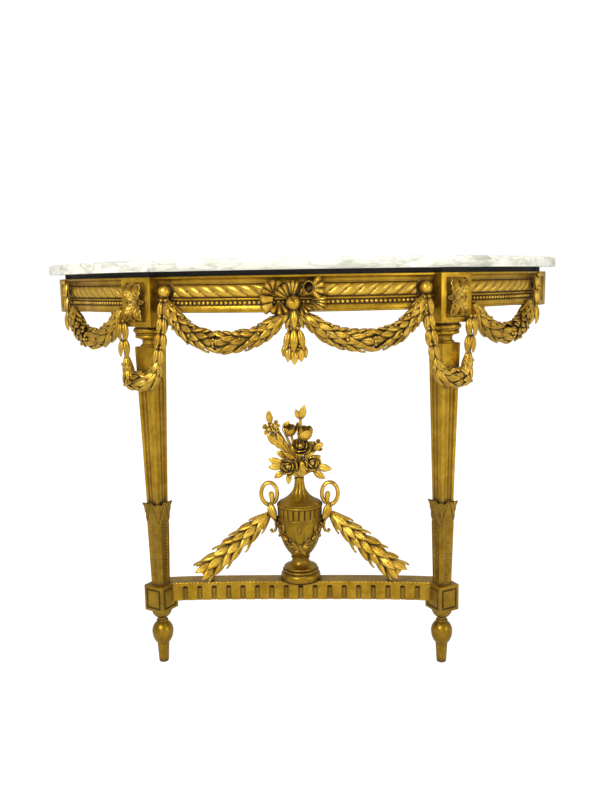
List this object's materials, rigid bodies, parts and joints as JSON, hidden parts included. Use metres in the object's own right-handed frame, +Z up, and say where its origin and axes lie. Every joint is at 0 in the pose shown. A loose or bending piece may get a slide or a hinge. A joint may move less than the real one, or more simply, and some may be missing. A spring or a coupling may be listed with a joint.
{
  "type": "demilune console table",
  "caption": "Bow-fronted giltwood console table with a marble slab, carved laurel garlands, tapered fluted legs and an urn on its stretcher.",
  "frame": {"origin": "on the floor, midway across the width and midway between the wall and the front of the marble", "axes": "+X to the right seen from the front, +Y towards the wall, +Z up"},
  "size_m": [1.17, 0.3799, 0.87],
  "materials": {
    "gilt_wood": "worn gold leaf over red-brown ground",
    "bare_wood": "plain sawn and planed",
    "dark_wood": "dark stained",
    "marble": "polished"
  },
  "bodies": {
    "frame": {"top_frame": "dark_wood", "front_rail": "gilt_wood", "left_side_rail": "gilt_wood", "right_side_rail": "gilt_wood", "back_rail": "bare_wood", "cross_batten": "bare_wood", "left_rear_block": "gilt_wood", "right_rear_block": "gilt_wood", "left_leg_block": "gilt_wood", "right_leg_block": "gilt_wood", "left_leg": "gilt_wood", "right_leg": "gilt_wood", "left_lower_block": "gilt_wood", "right_lower_block": "gilt_wood", "left_foot": "gilt_wood", "right_foot": "gilt_wood", "front_twist": "gilt_wood", "left_side_twist": "gilt_wood", "right_side_twist": "gilt_wood", "front_beads": "gilt_wood", "left_side_beads": "gilt_wood", "right_side_beads": "gilt_wood", "left_rosette": "gilt_wood", "right_rosette": "gilt_wood", "left_ball": "gilt_wood", "right_ball": "gilt_wood", "left_front_swag": "gilt_wood", "right_front_swag": "gilt_wood", "left_side_swag": "gilt_wood", "right_side_swag": "gilt_wood", "left_tassel": "gilt_wood", "right_tassel": "gilt_wood", "left_collar_garland": "gilt_wood", "right_collar_garland": "gilt_wood", "ribbon_bow": "gilt_wood", "leaf_pendant": "gilt_wood", "stretcher": "gilt_wood", "urn": "gilt_wood", "urn_lid": "gilt_wood", "left_handle": "gilt_wood", "right_handle": "gilt_wood", "flower_bouquet": "gilt_wood", "left_urn_garland": "gilt_wood", "right_urn_garland": "gilt_wood"},
    "marble": {"marble_top": "marble"}
  },
  "joints": [
    {"name": "marble_lift", "type": "slide", "parent": "frame", "child": "marble", "axis": [0, 0, 1], "range_m": [0, 0.1]}
  ]
}
